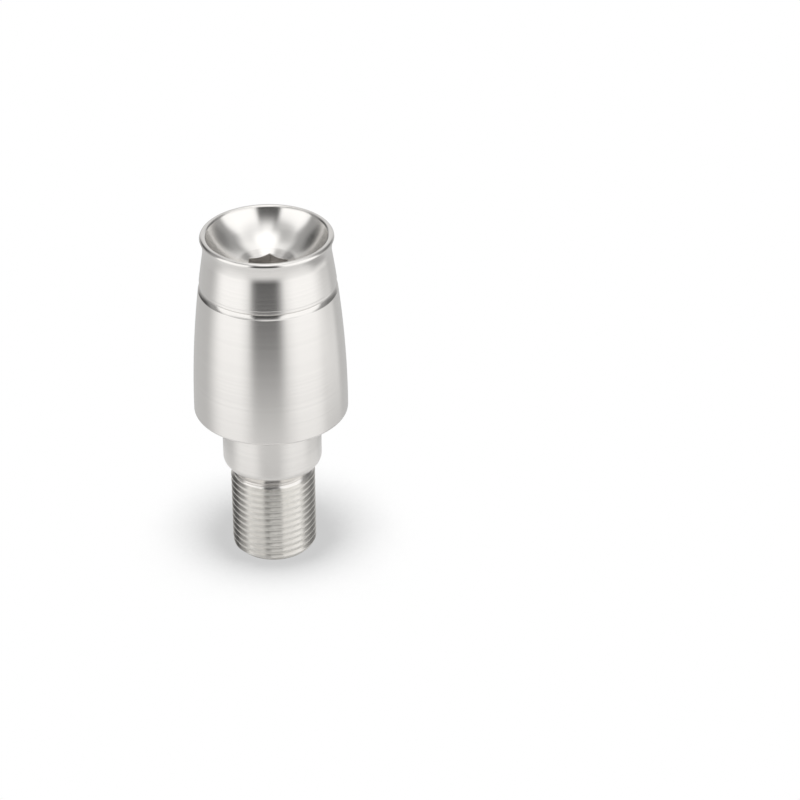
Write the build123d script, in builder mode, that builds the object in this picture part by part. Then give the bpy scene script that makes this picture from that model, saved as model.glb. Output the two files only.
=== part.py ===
from build123d import *
from math import radians, sqrt, tan
import os

# Bar end weight for a motorcycle handlebar, turned from one bar of metal. Millimetres.
# It stands on the flat end of its threaded spigot: the origin is the middle of that end,
# and +Z runs up the axis to the dished head. A corner of the hex socket points along +Y.

# Spigot for a fine metric thread of 18 mm that screws into the handlebar. The solid has
# the thread's crest diameter, and its ridges are left off
thread_diameter = 18.0
spigot_length = 20.3
end_chamfer = 1.0

# Narrow relief groove under the collar's shoulder, and the cone on which the thread runs out
relief_diameter = 16.0
relief_width = 0.8
thread_run_out = 1.2

# Plain collar that reaches through the open end of the grip to the handlebar
collar_diameter = 21.0
collar_length = 13.5
collar_lead_length = 1.6
collar_lead_depth = 1.2

# Barrel of the head, one long arc that is widest at the foot of the head
head_length = 41.0
barrel_diameter = 32.5
barrel_arc_radius = 230.0
barrel_foot_chamfer = 0.5

# Ring groove round the barrel, a channel with sloping sides below a narrow sunken land.
# The channel's depth is below the land, and the land's is below the barrel
groove_height = 28.6
channel_width = 1.3
channel_floor_width = 0.6
channel_depth = 0.3
land_width = 0.6
land_depth = 0.15

# Lip round the mouth of the dish, and the neck that flares out to it
rim_diameter = 27.6
lip_radius = 0.7
neck_flare_height = 3.8
lip_inner_drop = 0.45

# Dish, a bowl that is steep at the lip and shallow at its floor
dish_floor_diameter = 11.6
dish_depth = 6.3
dish_arc_radius = 12.0

# Hex socket, with the countersink that leads into it and the drilled hole below it
socket_across_flats = 8.0
socket_depth = 7.0
socket_corner_angle = 90.0
countersink_angle = 120.0
pilot_diameter = 7.8
pilot_extra_depth = 1.2
drill_point_angle = 118.0

# Heights up the axis
shoulder_z = spigot_length
collar_z = shoulder_z + collar_lead_length
head_z = shoulder_z + collar_length
top_z = head_z + head_length
lip_z = top_z - lip_radius
neck_z = lip_z - neck_flare_height
foot_z = head_z + barrel_foot_chamfer
channel_z = head_z + groove_height
channel_middle_z = channel_z + channel_width / 2
land_z = channel_z + channel_width
groove_top_z = land_z + land_width
dish_floor_z = top_z - dish_depth

# Radii of the surfaces of revolution
thread_radius = thread_diameter / 2
relief_radius = relief_diameter / 2
collar_radius = collar_diameter / 2
barrel_radius = barrel_diameter / 2
rim_radius = rim_diameter / 2
dish_floor_radius = dish_floor_diameter / 2
pilot_radius = pilot_diameter / 2

# The lip is a round bead, and the dish starts part of the way down its inner side
bead_radius = rim_radius - lip_radius
bead_drop = lip_radius - lip_inner_drop
dish_mouth_radius = bead_radius - sqrt(lip_radius**2 - bead_drop**2)
dish_mouth_z = top_z - lip_inner_drop

# The countersink runs in to the pilot hole, and the socket's depth is taken from there
countersink_drop = (dish_floor_radius - pilot_radius) / tan(radians(countersink_angle / 2))
countersink_z = dish_floor_z - countersink_drop
socket_floor_z = countersink_z - socket_depth
pilot_floor_z = socket_floor_z - pilot_extra_depth
drill_point_z = pilot_floor_z - pilot_radius / tan(radians(drill_point_angle / 2))


def barrel_radius_at(z):
    """Radius of the barrel's arc at a height. Its centre is level with the head's foot."""
    return barrel_radius - barrel_arc_radius + sqrt(barrel_arc_radius**2 - (z - head_z) ** 2)


def barrel_curve(low_z, high_z):
    """Stretch of the barrel's side between two heights, drawn upwards."""
    middle_z = (low_z + high_z) / 2
    return Spline(
        (barrel_radius_at(low_z), low_z),
        (barrel_radius_at(middle_z), middle_z),
        (barrel_radius_at(high_z), high_z),
    )


# Floor of the ring groove's channel and the land above it
land_radius = barrel_radius_at(land_z) - land_depth
channel_floor_radius = land_radius - channel_depth


with BuildPart() as bar_end_weight:
    # The turned form: half of its section, drawn from the spigot's end up the outside,
    # over the lip and down the dish to the point of the drilled hole
    with BuildSketch(Plane.XZ) as half_section:
        with BuildLine() as outline:
            spigot = Polyline(
                (0, 0),
                (thread_radius - end_chamfer, 0),
                (thread_radius, end_chamfer),
                (thread_radius, shoulder_z - relief_width - thread_run_out),
                (relief_radius, shoulder_z - relief_width),
                (relief_radius, shoulder_z),
            )
            collar = Polyline(
                spigot @ 1,
                (collar_radius - collar_lead_depth, shoulder_z),
                (collar_radius, collar_z),
                (collar_radius, head_z),
                (barrel_radius - barrel_foot_chamfer, head_z),
                (barrel_radius_at(foot_z), foot_z),
            )
            barrel = barrel_curve(foot_z, channel_z)
            groove = Polyline(
                barrel @ 1,
                (channel_floor_radius, channel_middle_z - channel_floor_width / 2),
                (channel_floor_radius, channel_middle_z + channel_floor_width / 2),
                (land_radius, land_z),
                (barrel_radius_at(groove_top_z) - land_depth, groove_top_z),
                (barrel_radius_at(groove_top_z), groove_top_z),
            )
            neck = barrel_curve(groove_top_z, neck_z)
            flare = TangentArc(neck @ 1, (rim_radius, lip_z), tangent=neck % 1)
            lip = ThreePointArc(
                flare @ 1,
                (bead_radius, top_z),
                (dish_mouth_radius, dish_mouth_z),
            )
            dish = RadiusArc(lip @ 1, (dish_floor_radius, dish_floor_z), dish_arc_radius)
            bore = Polyline(
                dish @ 1,
                (pilot_radius, countersink_z),
                (pilot_radius, pilot_floor_z),
                (0, drill_point_z),
                (0, 0),
            )
        make_face()
    revolve(axis=Axis.Z)

    # The hex socket, cut from above so that its flats break into the countersink
    with BuildSketch(Plane.XY.offset(socket_floor_z)) as hexagon:
        RegularPolygon(
            socket_across_flats / 2,
            side_count=6,
            major_radius=False,
            rotation=socket_corner_angle,
        )
    extrude(amount=top_z - socket_floor_z, mode=Mode.SUBTRACT)

os.makedirs("parts", exist_ok=True)
bar_end_weight.part.label = "bar_end_weight"
export_step(bar_end_weight.part, "parts/bar_end_weight.step")
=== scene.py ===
"""Looks for the bar end weight: one turned piece with a real thread, a floor and a studio."""

import math

import bmesh
import bpy
from mathutils import Matrix, Vector


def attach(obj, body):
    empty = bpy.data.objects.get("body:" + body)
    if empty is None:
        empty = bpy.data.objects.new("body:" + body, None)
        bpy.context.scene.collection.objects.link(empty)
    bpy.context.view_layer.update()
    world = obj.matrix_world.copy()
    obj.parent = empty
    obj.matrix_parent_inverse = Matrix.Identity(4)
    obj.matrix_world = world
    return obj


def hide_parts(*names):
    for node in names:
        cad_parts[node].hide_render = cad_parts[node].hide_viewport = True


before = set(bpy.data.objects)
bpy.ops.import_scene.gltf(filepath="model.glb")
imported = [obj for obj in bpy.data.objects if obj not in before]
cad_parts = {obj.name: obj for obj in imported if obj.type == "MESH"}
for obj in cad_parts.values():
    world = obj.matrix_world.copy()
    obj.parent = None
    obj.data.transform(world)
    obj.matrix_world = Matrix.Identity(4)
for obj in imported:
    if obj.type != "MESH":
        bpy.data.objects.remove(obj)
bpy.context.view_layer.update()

MM = 0.001

# Sizes of the turned piece in millimetres, the same named sizes as in the CAD source
THREAD_DIAMETER = 18.0
SPIGOT_LENGTH = 20.3
END_CHAMFER = 1.0
RELIEF_DIAMETER = 16.0
RELIEF_WIDTH = 0.8
THREAD_RUN_OUT = 1.2
COLLAR_DIAMETER = 21.0
COLLAR_LENGTH = 13.5
COLLAR_LEAD_LENGTH = 1.6
COLLAR_LEAD_DEPTH = 1.2
HEAD_LENGTH = 41.0
BARREL_DIAMETER = 32.5
BARREL_ARC_RADIUS = 230.0
GROOVE_HEIGHT = 28.6
CHANNEL_WIDTH = 1.3
CHANNEL_DEPTH = 0.3
LAND_WIDTH = 0.6
LAND_DEPTH = 0.15
RIM_DIAMETER = 27.6
LIP_RADIUS = 0.7
NECK_FLARE_HEIGHT = 3.8
LIP_INNER_DROP = 0.45
DISH_FLOOR_DIAMETER = 11.6
DISH_DEPTH = 6.3
DISH_ARC_RADIUS = 12.0
SOCKET_ACROSS_FLATS = 8.0
SOCKET_DEPTH = 7.0
SOCKET_CORNER_ANGLE = 90.0
COUNTERSINK_ANGLE = 120.0
PILOT_DIAMETER = 7.8
PILOT_EXTRA_DEPTH = 1.2
DRILL_POINT_ANGLE = 118.0

# Sizes that only the dressed piece has: the thread, the hollow lower side of the ring groove's
# channel with its root above the middle, and the smallest rounds and broken edges
THREAD_PITCH = 1.5
THREAD_DEPTH = 0.52
THREAD_CREST_SHARE = 0.10
THREAD_ROOT_SHARE = 0.32
CHANNEL_ROOT_HEIGHT = 0.95
CHANNEL_SIDE_RADIUS = 1.8
CHANNEL_ROOT_RADIUS = 0.05
LAND_EDGE_RADIUS = 0.04
GROOVE_EDGE_RADIUS = 0.06
STEP_EDGE_RADIUS = 0.12
BARREL_FOOT_RADIUS = 0.6
RELIEF_CORNER_RADIUS = 0.3
COLLAR_EDGE_RADIUS = 0.12
COLLAR_LEAD_RADIUS = 1.5
SOCKET_EDGE_BREAK = 0.08

# How finely the mesh is drawn: columns round the axis, and steps along each stretch. The helix
# starts some turns below the spigot's end, which cuts it off flat
COLUMNS = 240
THREAD_STEPS = 4
THREAD_TURNS_BELOW = 2
EDGE_STEPS = 4
CORNER_STEPS = 6
FOOT_STEPS = 8
BARREL_STEPS = 14
CHANNEL_STEPS = 10
NECK_STEPS = 5
FLARE_STEPS = 14
LIP_STEPS = 20
DISH_STEPS = 18

# Extra rows and rings, in millimetres. A row this close to an edge keeps the shading beside it
# true, and the barrel's direction at the groove is taken over a short reach
CLOSE_ROW = 0.05
DIRECTION_REACH = 1.0
COLLAR_ROWS = (1.0, 5.0)
NECK_START = 0.2
SPIGOT_END_RINGS = (0.0, 2.5, 5.0, 7.5)
SOCKET_WALL_RINGS = (4.0, 0.3, 0.0)

# Rings down the countersink, and the round of the socket's edge as shares of its size, out and down
COUNTERSINK_SHARES = (0.25, 0.5, 0.75)
SOCKET_EDGE_ROUND = ((1.0, 0.0), (0.45, 0.12), (0.12, 0.45), (0.0, 1.0))

# Points closer than the first are one point, in metres, and edges that bend by more than the
# last, in degrees, stay sharp
MERGE_DISTANCE = 2e-7
SLIVER_DISTANCE = 1e-7
SHARP_ANGLE = 32.0

# Heights up the axis
SHOULDER_Z = SPIGOT_LENGTH
COLLAR_Z = SHOULDER_Z + COLLAR_LEAD_LENGTH
HEAD_Z = SHOULDER_Z + COLLAR_LENGTH
TOP_Z = HEAD_Z + HEAD_LENGTH
LIP_Z = TOP_Z - LIP_RADIUS
NECK_Z = LIP_Z - NECK_FLARE_HEIGHT
CHANNEL_Z = HEAD_Z + GROOVE_HEIGHT
CHANNEL_ROOT_Z = CHANNEL_Z + CHANNEL_ROOT_HEIGHT
LAND_Z = CHANNEL_Z + CHANNEL_WIDTH
GROOVE_TOP_Z = LAND_Z + LAND_WIDTH
DISH_FLOOR_Z = TOP_Z - DISH_DEPTH
RELIEF_Z = SHOULDER_Z - RELIEF_WIDTH
THREAD_TOP_Z = RELIEF_Z - THREAD_RUN_OUT

# Radii
THREAD_RADIUS = THREAD_DIAMETER / 2
RELIEF_RADIUS = RELIEF_DIAMETER / 2
COLLAR_RADIUS = COLLAR_DIAMETER / 2
BARREL_RADIUS = BARREL_DIAMETER / 2
RIM_RADIUS = RIM_DIAMETER / 2
DISH_FLOOR_RADIUS = DISH_FLOOR_DIAMETER / 2
PILOT_RADIUS = PILOT_DIAMETER / 2

# The lip is a round bead, and the dish starts part of the way down its inner side
BEAD_RADIUS = RIM_RADIUS - LIP_RADIUS
BEAD_DROP = LIP_RADIUS - LIP_INNER_DROP
DISH_MOUTH_RADIUS = BEAD_RADIUS - math.sqrt(LIP_RADIUS**2 - BEAD_DROP**2)
DISH_MOUTH_Z = TOP_Z - LIP_INNER_DROP

# The countersink runs in to the pilot hole, and the socket's depth is taken from there
COUNTERSINK_SLOPE = 1 / math.tan(math.radians(COUNTERSINK_ANGLE / 2))
COUNTERSINK_Z = DISH_FLOOR_Z - (DISH_FLOOR_RADIUS - PILOT_RADIUS) * COUNTERSINK_SLOPE
SOCKET_FLOOR_Z = COUNTERSINK_Z - SOCKET_DEPTH
PILOT_FLOOR_Z = SOCKET_FLOOR_Z - PILOT_EXTRA_DEPTH
DRILL_POINT_Z = PILOT_FLOOR_Z - PILOT_RADIUS / math.tan(math.radians(DRILL_POINT_ANGLE / 2))

# The metal. Its fine marks vary the colour and the roughness between two values each. The
# thread's colour is a little darker and warmer, its marks all run one way, and the dish is
# polished brighter
METAL_DARK = (0.745, 0.726, 0.703, 1)
METAL_LIGHT = (0.835, 0.815, 0.79, 1)
METAL_ROUGHNESS = (0.20, 0.25)
METAL_ANISOTROPY = 0.85
THREAD_ANISOTROPY = 1.0
ANISOTROPY_TURN = 0.25
THREAD_TINT = (0.97, 0.97, 0.9506, 1)
DISH_COLOUR = (0.94, 0.925, 0.9, 1)
DISH_POLISH = 0.45
MARKS_SCALE = 3200.0
MARKS_DETAIL = 4.0
MARKS_ROUGHNESS = 0.65
MARKS_STRENGTH = 0.22
MARKS_HEIGHT = 0.000004

# The camera stands a little to the right of the weight's front, turned about the axis. Its place
# is in metres, before that turn
CAMERA_TURN = 3.3
CAMERA_PITCH = 30.95
CAMERA_PLACE = (0.0272, -0.5102, 0.3412)
SENSOR_WIDTH = 36.0
LENS_LENGTH = 126.8
CLIP_RANGE = (0.01, 20.0)

# The studio as its metal reflections show it. Each panel of light or dark lies over the ones
# before it: the compass direction of its middle and its half width, in degrees to the right of
# the camera's side, its lowest and highest elevation, how soft its level edges and its upright
# edges are, and its level. A half width past 180 goes all the way round
WALLS_LEVEL = 0.34
ALL_ROUND = 181
PANELS = (
    ("back wall", 180, 33, -6, 50, 10, 10, 0.78),
    ("floor beyond the table", 0, ALL_ROUND, -91, -8, 9, 0, 0.60),
    ("floor close to the weight", 0, ALL_ROUND, -91, -46, 6, 0, 0.80),
    ("camera side", -2, 27, -20, 50, 8, 8, 0.06),
    ("floor in front", 0, 30, -48, -28, 6, 14, 0.98),
    ("floor lit from the left", -60, 31, -47, -21, 8, 20, 0.98),
    ("floor lit from the right", 60, 31, -47, -21, 8, 22, 0.98),
    ("lens", -2, 21, -20, -4, 4, 5, 0.0),
    ("foot of the left softbox", -60, 30, -23, -4, 6, 18, 1.25),
    ("left softbox", -56.5, 30.5, -6, 47, 6, 4, 1.25),
    ("foot of the right softbox", 64, 34, -23, -4, 6, 20, 1.25),
    ("right softbox", 60.5, 33.5, -6, 60, 6, 5, 1.25),
    ("upper part of the right softbox", 42, 20, 14, 58, 6, 5, 1.25),
    ("ceiling over the front", 0, ALL_ROUND, 53, 91, 7, 0, 0.88),
    ("ceiling over the back", 180, 58, 56, 91, 9, 9, 1.2),
    ("lamp over the front", -2, 20, 60, 76, 6, 8, 1.15),
    ("grey flag far left", -98, 28, 54, 80, 7, 9, 0.50),
    ("dark flag up left", -55, 36, 54, 71, 6, 6, 0.44),
    ("middle of the ceiling", 0, ALL_ROUND, 74, 91, 5, 0, 1.45),
    ("low reflector far right", 111, 16, -29, -20, 3, 8, 1.08),
    ("shaded floor far right", 118, 20, -91, -33, 3, 8, 0.40),
    ("dark corner left", -126, 16, 5, 33, 7, 8, 0.05),
    ("dark corner right", 125, 15, 5, 33, 8, 8, 0.17),
)

# Limits that keep the studio's sums defined: no arc cosine past 1, no division by 0 straight up
# or down, and a lower limit in radians that no angle reaches
COSINE_LIMIT = 0.9999
LEAST_DIVISOR = 0.0001
BELOW_ZERO = -1.0

# The table is white to the camera, and darker where the weight closes it off from the light
# above and in front: the reach of that shadow in millimetres, the lean of the light towards the
# camera, and how much of the open sky gives the darkest and the full white
FLOOR_RADIUS = 45.0
FLOOR_SEGMENTS = 128
SHADOW_REACH = 32.0
SHADOW_LEAN = 12.0
SHADOW_FROM = 0.745
SHADOW_TO = 0.915
SHADOW_DARKEST = 0.60
SHADOW_SAMPLES = 24
TABLE_GREY = 0.85
WHITE = (1, 1, 1, 1)


def barrel_radius_at(z):
    """Radius of the barrel's arc at a height."""
    return BARREL_RADIUS - BARREL_ARC_RADIUS + math.sqrt(BARREL_ARC_RADIUS**2 - (z - HEAD_Z) ** 2)


def barrel_point(z):
    """The point of the barrel's arc at a height."""
    return (barrel_radius_at(z), z)


def arc_through(start, middle, end, steps):
    """Points along the circle through three points, start and end included."""
    (ax, ay), (bx, by), (cx, cy) = start, middle, end
    d = 2 * (ax * (by - cy) + bx * (cy - ay) + cx * (ay - by))
    a2, b2, c2 = ax * ax + ay * ay, bx * bx + by * by, cx * cx + cy * cy
    ox = (a2 * (by - cy) + b2 * (cy - ay) + c2 * (ay - by)) / d
    oy = (a2 * (cx - bx) + b2 * (ax - cx) + c2 * (bx - ax)) / d
    radius = math.hypot(ax - ox, ay - oy)
    first = math.atan2(ay - oy, ax - ox)
    middle_turn = math.remainder(math.atan2(by - oy, bx - ox) - first, math.tau)
    last_turn = math.remainder(math.atan2(cy - oy, cx - ox) - first, math.tau)
    if middle_turn * last_turn < 0 or abs(last_turn) < abs(middle_turn):
        last_turn += math.copysign(math.tau, middle_turn)
    points = []
    for step in range(steps + 1):
        angle = first + last_turn * step / steps
        points.append((ox + radius * math.cos(angle), oy + radius * math.sin(angle)))
    return points


def hollow_arc(start, end, radius, steps):
    """Points along an arc of a given radius, which bulges to the left on the way to its end."""
    (ax, ay), (bx, by) = start, end
    chord = math.hypot(bx - ax, by - ay)
    sagitta = radius - math.sqrt(radius**2 - chord**2 / 4)
    middle = (
        (ax + bx) / 2 - sagitta * (by - ay) / chord,
        (ay + by) / 2 + sagitta * (bx - ax) / chord,
    )
    return arc_through(start, middle, end, steps)


def rounded_corner(before, corner, after, radius, steps):
    """Points of a small round that replaces a corner between two straight runs."""
    a = Vector(before) - Vector(corner)
    b = Vector(after) - Vector(corner)
    a.normalize()
    b.normalize()
    half = math.acos(max(-1.0, min(1.0, a.dot(b)))) / 2
    reach = radius / math.tan(half)
    start = Vector(corner) + a * reach
    end = Vector(corner) + b * reach
    centre = Vector(corner) + (a + b).normalized() * (radius / math.sin(half))
    nearest = centre + (Vector(corner) - centre).normalized() * radius
    return arc_through(tuple(start), tuple(nearest), tuple(end), steps)


def barrel_run(low_z, high_z, steps):
    """Rows up the barrel's arc, with one close to each end that keeps the shading true."""
    heights = [low_z, low_z + CLOSE_ROW]
    for step in range(1, steps):
        heights.append(low_z + (high_z - low_z) * step / steps)
    heights += [high_z - CLOSE_ROW, high_z]
    return [barrel_point(z) for z in heights]


def flare_points(steps):
    """The flare from the neck to the rim, tangent to the barrel's arc at the neck."""
    start = Vector(barrel_point(NECK_Z))
    end = Vector((RIM_RADIUS, LIP_Z))
    rise = NECK_Z - HEAD_Z
    tangent = Vector((-rise, math.sqrt(BARREL_ARC_RADIUS**2 - rise**2))).normalized()
    normal = Vector((tangent.y, -tangent.x))
    chord = end - start
    radius = chord.length_squared / (2 * chord.dot(normal))
    centre = start + normal * radius
    middle = centre + ((start + end) / 2 - centre).normalized() * abs(radius)
    return arc_through(tuple(start), tuple(middle), tuple(end), steps)


def collar_rows():
    """Rows from the relief groove over the shoulder and up the collar to the head's underside."""
    relief_low = (RELIEF_RADIUS, RELIEF_Z)
    relief_top = (RELIEF_RADIUS, SHOULDER_Z)
    lead_start = (COLLAR_RADIUS - COLLAR_LEAD_DEPTH, SHOULDER_Z)
    lead_end = (COLLAR_RADIUS, COLLAR_Z)
    collar_top = (COLLAR_RADIUS, HEAD_Z)
    rows = [relief_low]
    rows += rounded_corner(relief_low, relief_top, lead_start, RELIEF_CORNER_RADIUS, CORNER_STEPS)
    rows += rounded_corner(relief_top, lead_start, lead_end, COLLAR_EDGE_RADIUS, EDGE_STEPS)
    rows += rounded_corner(lead_start, lead_end, collar_top, COLLAR_LEAD_RADIUS, CORNER_STEPS)
    rows += [(COLLAR_RADIUS, COLLAR_Z + rise) for rise in COLLAR_ROWS]
    rows += [collar_top]
    return rows


def foot_rows():
    """Rows out along the head's underside and round the barrel's foot."""
    inner = (COLLAR_RADIUS, HEAD_Z)
    corner = (BARREL_RADIUS, HEAD_Z)
    above = (BARREL_RADIUS, TOP_Z)
    rows = [(COLLAR_RADIUS + CLOSE_ROW, HEAD_Z)]
    rows += [(BARREL_RADIUS - BARREL_FOOT_RADIUS - CLOSE_ROW, HEAD_Z)]
    rows += rounded_corner(inner, corner, above, BARREL_FOOT_RADIUS, FOOT_STEPS)[:-1]
    return rows


def groove_rows():
    """Rows up through the ring groove: its channel, the sunken land and the step out of it."""
    channel_low = barrel_point(CHANNEL_Z)
    land_low = (barrel_radius_at(LAND_Z) - LAND_DEPTH, LAND_Z)
    land_top = (barrel_radius_at(GROOVE_TOP_Z) - LAND_DEPTH, GROOVE_TOP_Z)
    step_top = barrel_point(GROOVE_TOP_Z)
    root = (land_low[0] - CHANNEL_DEPTH, CHANNEL_ROOT_Z)
    side = hollow_arc(channel_low, root, CHANNEL_SIDE_RADIUS, CHANNEL_STEPS)
    below = barrel_point(CHANNEL_Z - DIRECTION_REACH)
    above = barrel_point(GROOVE_TOP_Z + DIRECTION_REACH)
    rows = rounded_corner(below, channel_low, side[1], GROOVE_EDGE_RADIUS, EDGE_STEPS)
    rows += side[2:-1]
    rows += rounded_corner(side[-2], root, land_low, CHANNEL_ROOT_RADIUS, EDGE_STEPS)
    rows += rounded_corner(root, land_low, land_top, LAND_EDGE_RADIUS, EDGE_STEPS)
    rows += [land_top]
    rows += rounded_corner(land_top, step_top, above, STEP_EDGE_RADIUS, EDGE_STEPS)
    return rows


def mouth_rows():
    """Rows up the neck and its flare, over the lip and down the dish."""
    rim = (RIM_RADIUS, LIP_Z)
    mouth = (DISH_MOUTH_RADIUS, DISH_MOUTH_Z)
    rows = barrel_run(GROOVE_TOP_Z + NECK_START, NECK_Z, NECK_STEPS)[:-1]
    rows += flare_points(FLARE_STEPS)
    rows += arc_through(rim, (BEAD_RADIUS, TOP_Z), mouth, LIP_STEPS)[1:]
    rows += hollow_arc(mouth, (DISH_FLOOR_RADIUS, DISH_FLOOR_Z), DISH_ARC_RADIUS, DISH_STEPS)[1:]
    return rows


def outside_profile():
    """Rows from the root of the relief groove up the outside and over the lip to the dish."""
    rows = collar_rows()
    rows += foot_rows()
    rows += barrel_run(HEAD_Z + BARREL_FOOT_RADIUS, CHANNEL_Z - 2 * GROOVE_EDGE_RADIUS, BARREL_STEPS)
    rows += groove_rows()
    rows += mouth_rows()
    return rows


def thread_radius_at(place):
    """Radius of the thread at a place within one pitch, 0 at the middle of its crest."""
    away = abs(math.remainder(place, 1.0))
    crest = THREAD_CREST_SHARE / 2
    root = 0.5 - THREAD_ROOT_SHARE / 2
    down = min(max((away - crest) / (root - crest), 0.0), 1.0)
    return THREAD_RADIUS - THREAD_DEPTH * down


def thread_places():
    """Places of the rows within one pitch, over the crest, down a flank, along the root and up."""
    crest = THREAD_CREST_SHARE / 2
    root = 0.5 - THREAD_ROOT_SHARE / 2
    corners = (-crest, crest, root, 1 - root, 1 - crest)
    places = []
    for start, end in zip(corners, corners[1:]):
        for step in range(THREAD_STEPS):
            places.append(start + (end - start) * step / THREAD_STEPS)
    return places


def thread_rows():
    """Rows of (place, height at angle 0) along the helix, from below the end to the relief."""
    turns = math.ceil(RELIEF_Z / THREAD_PITCH) + 1
    rows = []
    for turn in range(-THREAD_TURNS_BELOW, turns + 1):
        for place in thread_places():
            rows.append((place, (turn + place) * THREAD_PITCH))
    return rows


def thread_point(place, height, angle):
    """Point of the thread in a direction, with its run-out above and the end chamfer below."""
    z = min(max(height + THREAD_PITCH * angle / math.tau, 0.0), RELIEF_Z)
    cut = THREAD_RADIUS - thread_radius_at(place)
    run_out = (RELIEF_Z - z) * (THREAD_RADIUS - RELIEF_RADIUS) / THREAD_RUN_OUT
    radius = max(min(THREAD_RADIUS, RELIEF_RADIUS + run_out) - cut, RELIEF_RADIUS)
    return (min(radius, THREAD_RADIUS - END_CHAMFER + z), z)


def socket_radius_at(angle):
    """Distance from the axis to the socket's wall in a direction."""
    corner = math.radians(SOCKET_CORNER_ANGLE)
    from_flat = math.remainder(angle - corner - math.pi / 6, math.pi / 3)
    return SOCKET_ACROSS_FLATS / 2 / math.cos(from_flat)


def countersink_height(radius):
    """Height of the countersink's cone at a radius."""
    return DISH_FLOOR_Z - (DISH_FLOOR_RADIUS - radius) * COUNTERSINK_SLOPE


def countersink_point(angle, share):
    """Point of the countersink, a share of the way from the dish's floor in to the socket."""
    inner = socket_radius_at(angle) + SOCKET_EDGE_BREAK
    radius = DISH_FLOOR_RADIUS + (inner - DISH_FLOOR_RADIUS) * share
    return (radius, countersink_height(radius))


def socket_edge_point(angle, out, down):
    """Point of the small round between the countersink and the socket's wall."""
    radius = socket_radius_at(angle) + SOCKET_EDGE_BREAK * out
    return (radius, countersink_height(radius) - SOCKET_EDGE_BREAK * down)


def build_skin():
    """All rings of points of the piece, from the middle of the spigot's end to the drill point."""
    angles = [math.tau * column / COLUMNS for column in range(COLUMNS + 1)]
    plain = [(radius, 0.0) for radius in SPIGOT_END_RINGS + (THREAD_RADIUS - END_CHAMFER,)]
    rings = [[point] * len(angles) for point in plain]
    for place, height in thread_rows():
        rings.append([thread_point(place, height, angle) for angle in angles])
    for point in outside_profile():
        rings.append([point] * len(angles))
    for share in COUNTERSINK_SHARES:
        rings.append([countersink_point(angle, share) for angle in angles])
    for out, down in SOCKET_EDGE_ROUND:
        rings.append([socket_edge_point(angle, out, down) for angle in angles])
    for rise in SOCKET_WALL_RINGS:
        rings.append([(socket_radius_at(angle), SOCKET_FLOOR_Z + rise) for angle in angles])
    pilot = (
        (PILOT_RADIUS, SOCKET_FLOOR_Z),
        (PILOT_RADIUS, PILOT_FLOOR_Z),
        (PILOT_RADIUS / 2, (PILOT_FLOOR_Z + DRILL_POINT_Z) / 2),
        (0.0, DRILL_POINT_Z),
    )
    rings += [[point] * len(angles) for point in pilot]
    return angles, rings


def build_piece():
    """The turned piece as one closed mesh."""
    angles, rings = build_skin()
    points = []
    for ring in rings:
        for angle, (radius, z) in zip(angles, ring):
            points.append((radius * math.cos(angle) * MM, radius * math.sin(angle) * MM, z * MM))
    faces = []
    width = len(angles)
    for row in range(len(rings) - 1):
        for column in range(width - 1):
            low = row * width + column
            high = low + width
            faces.append((low, low + 1, high + 1, high))
    mesh = bpy.data.meshes.new("turned_weight")
    mesh.from_pydata(points, [], faces)
    work = bmesh.new()
    work.from_mesh(mesh)
    bmesh.ops.remove_doubles(work, verts=work.verts, dist=MERGE_DISTANCE)
    bmesh.ops.dissolve_degenerate(work, edges=work.edges, dist=SLIVER_DISTANCE)
    bmesh.ops.recalc_face_normals(work, faces=work.faces)
    work.to_mesh(mesh)
    work.free()
    for polygon in mesh.polygons:
        polygon.use_smooth = True
    mesh.set_sharp_from_angle(angle=math.radians(SHARP_ANGLE))
    piece = bpy.data.objects.new("turned_weight", mesh)
    bpy.context.scene.collection.objects.link(piece)
    return piece


def link(tree, source, output, target, socket):
    """Joins an output to an input."""
    tree.links.new(source.outputs[output], target.inputs[socket])


def math_node(tree, operation, first, second=None):
    """A Math node on outputs or numbers. Returns its output."""
    node = tree.nodes.new("ShaderNodeMath")
    node.operation = operation
    for index, value in enumerate((first, second)):
        if value is None:
            continue
        if isinstance(value, (int, float)):
            node.inputs[index].default_value = value
        else:
            tree.links.new(value, node.inputs[index])
    return node.outputs[0]


def colour_mix(tree, factor, first, second, blend="MIX"):
    """A Mix node from a colour or an output to a second colour. Returns its output."""
    node = tree.nodes.new("ShaderNodeMix")
    node.data_type = "RGBA"
    node.blend_type = blend
    if isinstance(first, tuple):
        node.inputs["A"].default_value = first
    else:
        tree.links.new(first, node.inputs["A"])
    node.inputs["B"].default_value = second
    tree.links.new(factor, node.inputs["Factor"])
    return node.outputs["Result"]


def turning_marks(tree, radius, z):
    """Fine rings round the axis, as a lathe leaves them. Returns the noise's strength."""
    rings = tree.nodes.new("ShaderNodeCombineXYZ")
    tree.links.new(radius, rings.inputs[0])
    tree.links.new(z, rings.inputs[1])
    marks = tree.nodes.new("ShaderNodeTexNoise")
    marks.noise_dimensions = "2D"
    marks.inputs["Scale"].default_value = MARKS_SCALE
    marks.inputs["Detail"].default_value = MARKS_DETAIL
    marks.inputs["Roughness"].default_value = MARKS_ROUGHNESS
    link(tree, rings, 0, marks, "Vector")
    return marks.outputs["Fac"]


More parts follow.
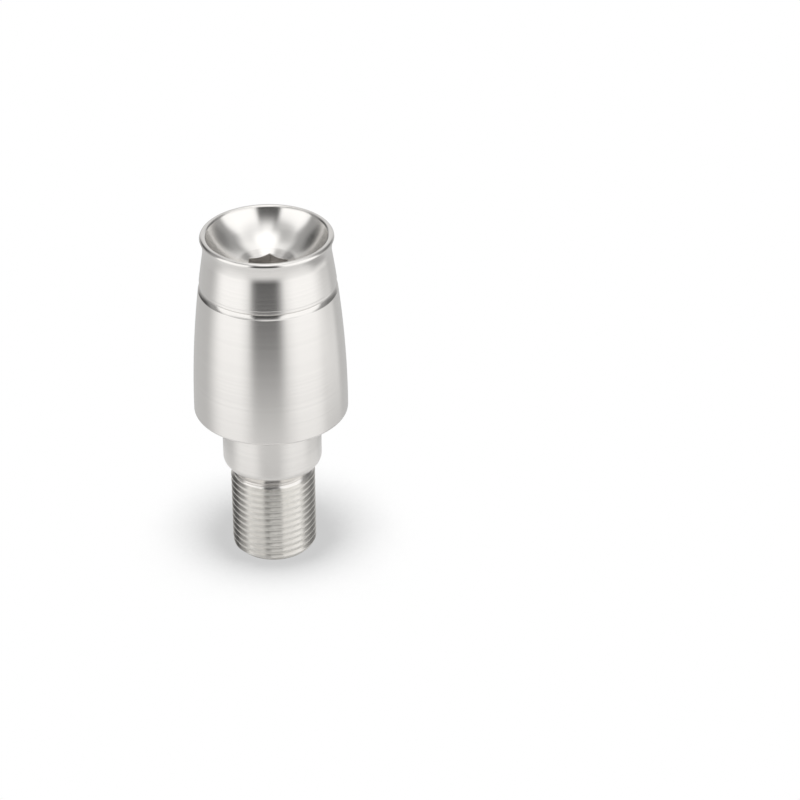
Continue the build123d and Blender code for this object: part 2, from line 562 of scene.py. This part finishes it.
def turned_metal():
    """Satin steel with fine marks that run round the axis."""
    material = bpy.data.materials.new("turned_metal")
    material.use_nodes = True
    tree = material.node_tree
    surface = tree.nodes["Principled BSDF"]
    surface.inputs["Metallic"].default_value = 1.0
    surface.inputs["Anisotropic Rotation"].default_value = ANISOTROPY_TURN
    tangent = tree.nodes.new("ShaderNodeTangent")
    tangent.direction_type = "RADIAL"
    tangent.axis = "Z"
    link(tree, tangent, 0, surface, "Tangent")

    place = tree.nodes.new("ShaderNodeTexCoord")
    split = tree.nodes.new("ShaderNodeSeparateXYZ")
    link(tree, place, "Object", split, 0)
    x, y, z = split.outputs
    x_square = math_node(tree, "MULTIPLY", x, x)
    y_square = math_node(tree, "MULTIPLY", y, y)
    radius = math_node(tree, "SQRT", math_node(tree, "ADD", x_square, y_square))
    marks = turning_marks(tree, radius, z)
    bump = tree.nodes.new("ShaderNodeBump")
    bump.inputs["Strength"].default_value = MARKS_STRENGTH
    bump.inputs["Distance"].default_value = MARKS_HEIGHT
    tree.links.new(marks, bump.inputs["Height"])
    link(tree, bump, "Normal", surface, "Normal")

    on_thread = math_node(tree, "LESS_THAN", z, THREAD_TOP_Z * MM)
    inside = math_node(tree, "LESS_THAN", radius, DISH_MOUTH_RADIUS * MM)
    above = math_node(tree, "GREATER_THAN", z, DISH_FLOOR_Z * MM)
    in_dish = math_node(tree, "MULTIPLY", inside, above)
    polish = math_node(tree, "MULTIPLY", in_dish, DISH_POLISH)
    colour = colour_mix(tree, marks, METAL_DARK, METAL_LIGHT)
    colour = colour_mix(tree, on_thread, colour, THREAD_TINT, "MULTIPLY")
    colour = colour_mix(tree, polish, colour, DISH_COLOUR)
    tree.links.new(colour, surface.inputs["Base Color"])

    rough = tree.nodes.new("ShaderNodeMapRange")
    rough.inputs["To Min"].default_value, rough.inputs["To Max"].default_value = METAL_ROUGHNESS
    tree.links.new(marks, rough.inputs["Value"])
    link(tree, rough, "Result", surface, "Roughness")
    more = math_node(tree, "MULTIPLY", on_thread, THREAD_ANISOTROPY - METAL_ANISOTROPY)
    tree.links.new(math_node(tree, "ADD", more, METAL_ANISOTROPY), surface.inputs["Anisotropic"])
    return material


def smooth_step(tree, value, start, end):
    """0 up to a start and 1 from an end, smooth between. Returns the output."""
    node = tree.nodes.new("ShaderNodeMapRange")
    node.interpolation_type = "SMOOTHSTEP"
    node.inputs["From Min"].default_value = start
    node.inputs["From Max"].default_value = end
    tree.links.new(value, node.inputs["Value"])
    return node.outputs["Result"]


def band(tree, value, low, high, soft):
    """1 where a value lies between two limits, with soft edges. Returns the output."""
    rise = smooth_step(tree, value, low - soft, low + soft)
    fall = smooth_step(tree, value, high + soft, high - soft)
    return math_node(tree, "MULTIPLY", rise, fall)


def panel_mask(tree, right, toward, height, panel):
    """Where a panel of the studio is, from 0 to 1."""
    middle, half_width, low, high, soft, side_soft = panel[1:-1]
    mask = band(tree, height, math.radians(low), math.radians(high), math.radians(soft))
    if half_width >= ALL_ROUND:
        return mask
    centre = math.radians(middle)
    across = math_node(tree, "MULTIPLY", right, math.sin(centre))
    ahead = math_node(tree, "MULTIPLY", toward, math.cos(centre))
    along = math_node(tree, "ADD", across, ahead)
    away = math_node(tree, "ARCCOSINE", math_node(tree, "MULTIPLY", along, COSINE_LIMIT))
    within = band(tree, away, BELOW_ZERO, math.radians(half_width), math.radians(side_soft))
    return math_node(tree, "MULTIPLY", mask, within)


def studio_level(tree):
    """The level of the studio's light in each direction, panel over panel. Returns the output."""
    place = tree.nodes.new("ShaderNodeTexCoord")
    turned = tree.nodes.new("ShaderNodeVectorRotate")
    turned.rotation_type = "Z_AXIS"
    turned.inputs["Angle"].default_value = -math.radians(CAMERA_TURN)
    link(tree, place, "Generated", turned, "Vector")
    split = tree.nodes.new("ShaderNodeSeparateXYZ")
    link(tree, turned, 0, split, 0)
    x, y, z = split.outputs
    height = math_node(tree, "ARCSINE", z)
    level_part = math_node(tree, "MAXIMUM", math_node(tree, "COSINE", height), LEAST_DIVISOR)
    right = math_node(tree, "DIVIDE", x, level_part)
    toward = math_node(tree, "MULTIPLY", math_node(tree, "DIVIDE", y, level_part), -1.0)
    light = WALLS_LEVEL
    for panel in PANELS:
        blend = tree.nodes.new("ShaderNodeMix")
        blend.data_type = "FLOAT"
        tree.links.new(panel_mask(tree, right, toward, height, panel), blend.inputs["Factor"])
        if isinstance(light, float):
            blend.inputs["A"].default_value = light
        else:
            tree.links.new(light, blend.inputs["A"])
        blend.inputs["B"].default_value = panel[-1]
        light = blend.outputs["Result"]
    return light


def studio_world():
    """A white studio. Its metal reflections show softboxes, a ceiling and a dark camera side."""
    world = bpy.data.worlds.new("studio")
    bpy.context.scene.world = world
    world.use_nodes = True
    tree = world.node_tree
    tree.nodes.clear()
    out = tree.nodes.new("ShaderNodeOutputWorld")
    reflected = tree.nodes.new("ShaderNodeBackground")
    reflected.inputs["Color"].default_value = WHITE
    tree.links.new(studio_level(tree), reflected.inputs["Strength"])
    plain = tree.nodes.new("ShaderNodeBackground")
    plain.inputs["Color"].default_value = WHITE
    plain.inputs["Strength"].default_value = 1.0
    paths = tree.nodes.new("ShaderNodeLightPath")
    glossy = paths.outputs["Is Glossy Ray"]
    shiny = math_node(tree, "MAXIMUM", glossy, paths.outputs["Is Transmission Ray"])
    pick = tree.nodes.new("ShaderNodeMixShader")
    tree.links.new(shiny, pick.inputs[0])
    link(tree, plain, 0, pick, 1)
    link(tree, reflected, 0, pick, 2)
    link(tree, pick, 0, out, "Surface")


def table_material():
    """White paper to the camera with a soft shadow under the weight, and plain grey to light."""
    material = bpy.data.materials.new("floor")
    material.use_nodes = True
    tree = material.node_tree
    tree.nodes.clear()
    out = tree.nodes.new("ShaderNodeOutputMaterial")
    paper = tree.nodes.new("ShaderNodeBsdfDiffuse")
    paper.inputs["Color"].default_value = (TABLE_GREY, TABLE_GREY, TABLE_GREY, 1)
    turn = math.radians(CAMERA_TURN)
    lean = math.radians(SHADOW_LEAN)
    up = tree.nodes.new("ShaderNodeCombineXYZ")
    up.inputs[0].default_value = math.sin(lean) * math.sin(turn)
    up.inputs[1].default_value = -math.sin(lean) * math.cos(turn)
    up.inputs[2].default_value = math.cos(lean)
    closed = tree.nodes.new("ShaderNodeAmbientOcclusion")
    closed.samples = SHADOW_SAMPLES
    closed.inputs["Distance"].default_value = SHADOW_REACH * MM
    link(tree, up, 0, closed, "Normal")
    shade = tree.nodes.new("ShaderNodeMapRange")
    shade.inputs["From Min"].default_value = SHADOW_FROM
    shade.inputs["From Max"].default_value = SHADOW_TO
    shade.inputs["To Min"].default_value = SHADOW_DARKEST
    link(tree, closed, "AO", shade, "Value")
    seen = tree.nodes.new("ShaderNodeEmission")
    seen.inputs["Color"].default_value = WHITE
    link(tree, shade, "Result", seen, "Strength")
    paths = tree.nodes.new("ShaderNodeLightPath")
    pick = tree.nodes.new("ShaderNodeMixShader")
    link(tree, paths, "Is Camera Ray", pick, 0)
    link(tree, paper, 0, pick, 1)
    link(tree, seen, 0, pick, 2)
    link(tree, pick, 0, out, "Surface")
    return material


def floor_disc():
    """The pale table top under the weight."""
    mesh = bpy.data.meshes.new("floor")
    work = bmesh.new()
    bmesh.ops.create_circle(work, cap_ends=True, radius=FLOOR_RADIUS * MM, segments=FLOOR_SEGMENTS)
    work.to_mesh(mesh)
    work.free()
    floor = bpy.data.objects.new("floor", mesh)
    bpy.context.scene.collection.objects.link(floor)
    floor.data.materials.append(table_material())


def photo_camera():
    """The camera at the photograph's place and angle."""
    data = bpy.data.cameras.new("camera")
    data.sensor_width = SENSOR_WIDTH
    data.lens = LENS_LENGTH
    data.clip_start, data.clip_end = CLIP_RANGE
    camera = bpy.data.objects.new("camera", data)
    bpy.context.scene.collection.objects.link(camera)
    turn = math.radians(CAMERA_TURN)
    camera.location = Matrix.Rotation(turn, 3, "Z") @ Vector(CAMERA_PLACE)
    camera.rotation_euler = (math.radians(90 - CAMERA_PITCH), 0.0, turn)
    bpy.context.scene.camera = camera


piece = build_piece()
piece.data.materials.append(turned_metal())
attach(piece, "root")
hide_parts("bar_end_weight")
floor_disc()
studio_world()
photo_camera()
bpy.context.scene.view_settings.view_transform = "Standard"
